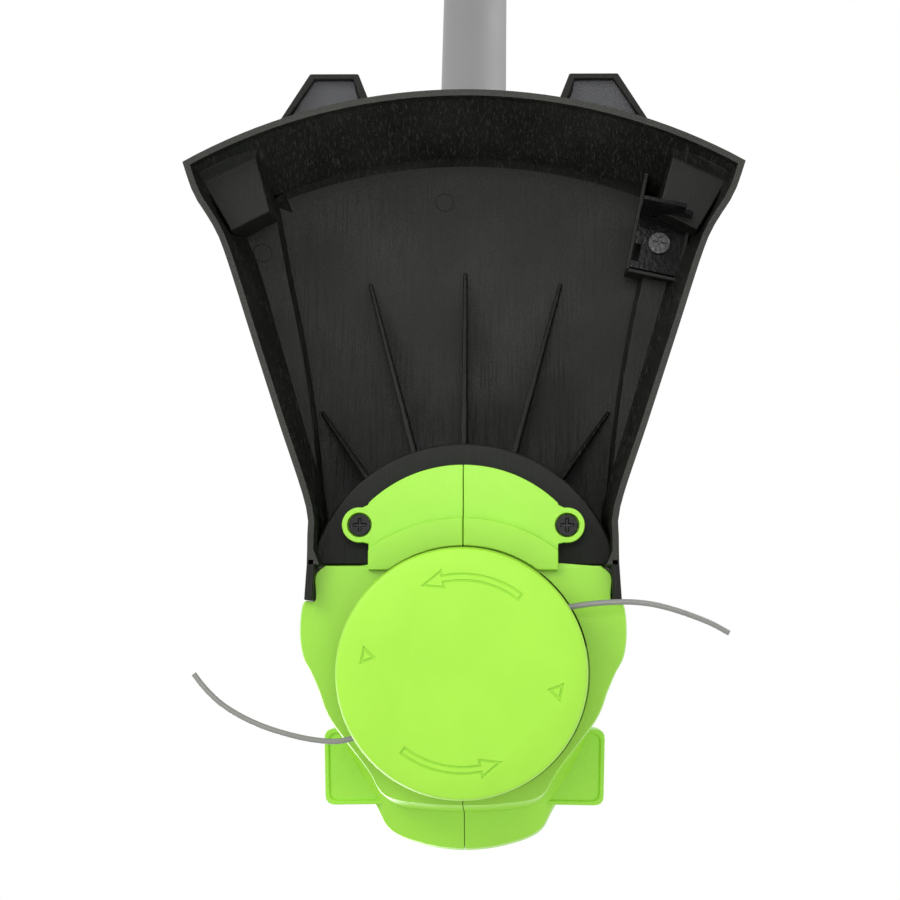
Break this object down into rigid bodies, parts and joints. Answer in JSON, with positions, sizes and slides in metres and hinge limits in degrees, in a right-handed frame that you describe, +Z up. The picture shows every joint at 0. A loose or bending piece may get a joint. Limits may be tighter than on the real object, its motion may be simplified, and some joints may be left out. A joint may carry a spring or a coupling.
{
  "type": "string trimmer",
  "caption": "Battery string trimmer: spinning line head with motor, fan-shaped guard, angled shaft, loop handle and rear trigger handle.",
  "frame": {"origin": "on the spool's axis, at the bottom face of the spool cap", "axes": "+Z up along the spool's axis, +Y from the cutting head towards the rear handle, +X to the user's left"},
  "size_m": [0.1992, 1.2484, 1.0266],
  "materials": {
    "shell_green": "moulded plastic with a fine satin grain",
    "cap_green": "smooth moulded plastic, slightly glossy",
    "guard_black": "moulded black plastic with light scuffs",
    "black_plastic": "moulded black plastic",
    "grip_rubber": "soft moulded rubber",
    "shaft_paint": "grey powder coat",
    "black_steel": "blackened steel, glossy",
    "bright_steel": "plated steel",
    "copper": "copper and laminated steel",
    "magnet_grey": "sintered magnet and carbon",
    "line_nylon": "grey nylon line, slightly translucent",
    "lead_jacket": "insulated cable",
    "board_green": "circuit board",
    "cell_wrap": "shrink-wrapped cell",
    "lens_clear": "small light pipe"
  },
  "bodies": {
    "root": {"head_shell_left": "shell_green", "head_shell_right": "shell_green", "shell_screws": "black_steel", "guard": "guard_black", "guard_screws": "black_steel", "line_cutter": "black_steel", "cutter_screw": "black_steel", "motor_can": "bright_steel", "motor_end_bell": "black_plastic", "field_magnets": "magnet_grey", "carbon_brushes": "magnet_grey", "motor_bearings": "bright_steel", "motor_screws": "bright_steel", "lower_shaft": "shaft_paint", "upper_shaft": "shaft_paint", "motor_lead": "lead_jacket", "coupler_body": "black_plastic", "coupler_bolt": "bright_steel", "strap_bracket": "bright_steel", "rear_shell_left": "black_plastic", "rear_shell_right": "black_plastic", "finger_bow": "black_plastic", "rear_screws": "black_steel", "soft_grip": "grip_rubber", "trigger_pin": "bright_steel", "trigger_spring": "bright_steel", "switch_body": "black_plastic", "control_board": "board_green", "terminal_block": "black_plastic", "handle_leads": "lead_jacket"},
    "spool_head": {"motor_shaft": "bright_steel", "rotor": "copper", "commutator": "copper", "cooling_fan": "black_plastic", "spool_base": "black_plastic", "spool_cap": "cap_green", "line_eyelets": "bright_steel", "retaining_nut": "bright_steel", "reel_spring": "bright_steel", "line_end_left": "line_nylon", "line_end_right": "line_nylon"},
    "reel": {"line_reel": "black_plastic", "wound_line": "line_nylon"},
    "coupler_knob": {"coupler_knob": "black_plastic"},
    "coupler_button": {"coupler_button": "bright_steel"},
    "handle_clamp": {"clamp_upper": "black_plastic", "clamp_lower": "black_plastic", "clamp_screws": "bright_steel", "loop_bolt": "bright_steel"},
    "loop_knob": {"loop_knob": "black_plastic"},
    "loop_handle": {"loop_frame": "black_plastic", "loop_grip": "grip_rubber"},
    "trigger": {"trigger": "shell_green"},
    "lock_off": {"lock_off": "shell_green"},
    "battery_pack": {"battery_case": "black_plastic", "battery_lid": "black_plastic", "battery_cells": "cell_wrap", "gauge_lights": "lens_clear"},
    "battery_latch": {"battery_latch": "black_plastic"},
    "gauge_button": {"gauge_button": "bright_steel"}
  },
  "joints": [
    {"name": "spool_spin", "type": "hinge", "parent": "root", "child": "spool_head", "pos_m": [0, 0, 0], "axis": [0, 0, 1], "continuous": true},
    {"name": "reel_feed", "type": "hinge", "parent": "spool_head", "child": "reel", "pos_m": [0, 0, 0], "axis": [0, 0, 1], "continuous": true},
    {"name": "coupler_knob_turn", "type": "hinge", "parent": "root", "child": "coupler_knob", "pos_m": [0, 0.52697, 0.44298], "axis": [1, 0, 0], "range_deg": [0, 540]},
    {"name": "coupler_button_press", "type": "slide", "parent": "root", "child": "coupler_button", "axis": [0, 0.6428, -0.766], "range_m": [0, 0.003], "stiffness_N_per_m": 1200, "springref_m": -0.0005},
    {"name": "clamp_slide", "type": "slide", "parent": "root", "child": "handle_clamp", "axis": [0, 0.766, 0.6428], "range_m": [-0.06, 0.06]},
    {"name": "loop_knob_turn", "type": "hinge", "parent": "handle_clamp", "child": "loop_knob", "pos_m": [0, 0.65355, 0.62817], "axis": [1, 0, 0], "range_deg": [0, 540]},
    {"name": "loop_tilt", "type": "hinge", "parent": "handle_clamp", "child": "loop_handle", "pos_m": [0, 0.65355, 0.62817], "axis": [1, 0, 0], "range_deg": [-40, 50]},
    {"name": "trigger_pull", "type": "hinge", "parent": "root", "child": "trigger", "pos_m": [0, 0.93987, 0.80967], "axis": [1, 0, 0], "range_deg": [0, 11], "stiffness_Nm_per_rad": 0.6, "springref_deg": -5.73, "deforming": ["trigger_spring"]},
    {"name": "lock_off_press", "type": "slide", "parent": "root", "child": "lock_off", "axis": [0, 0.6428, -0.766], "range_m": [0, 0.004], "stiffness_N_per_m": 900, "springref_m": -0.0008},
    {"name": "battery_slide", "type": "slide", "parent": "root", "child": "battery_pack", "axis": [0, 0.766, 0.6428], "range_m": [0, 0.11]},
    {"name": "battery_latch_press", "type": "slide", "parent": "battery_pack", "child": "battery_latch", "axis": [0, -0.6428, 0.766], "range_m": [0, 0.003], "stiffness_N_per_m": 900, "springref_m": -0.0006},
    {"name": "gauge_button_press", "type": "slide", "parent": "battery_pack", "child": "gauge_button", "axis": [0, -0.766, -0.6428], "range_m": [0, 0.0015], "stiffness_N_per_m": 900, "springref_m": -0.0005}
  ]
}
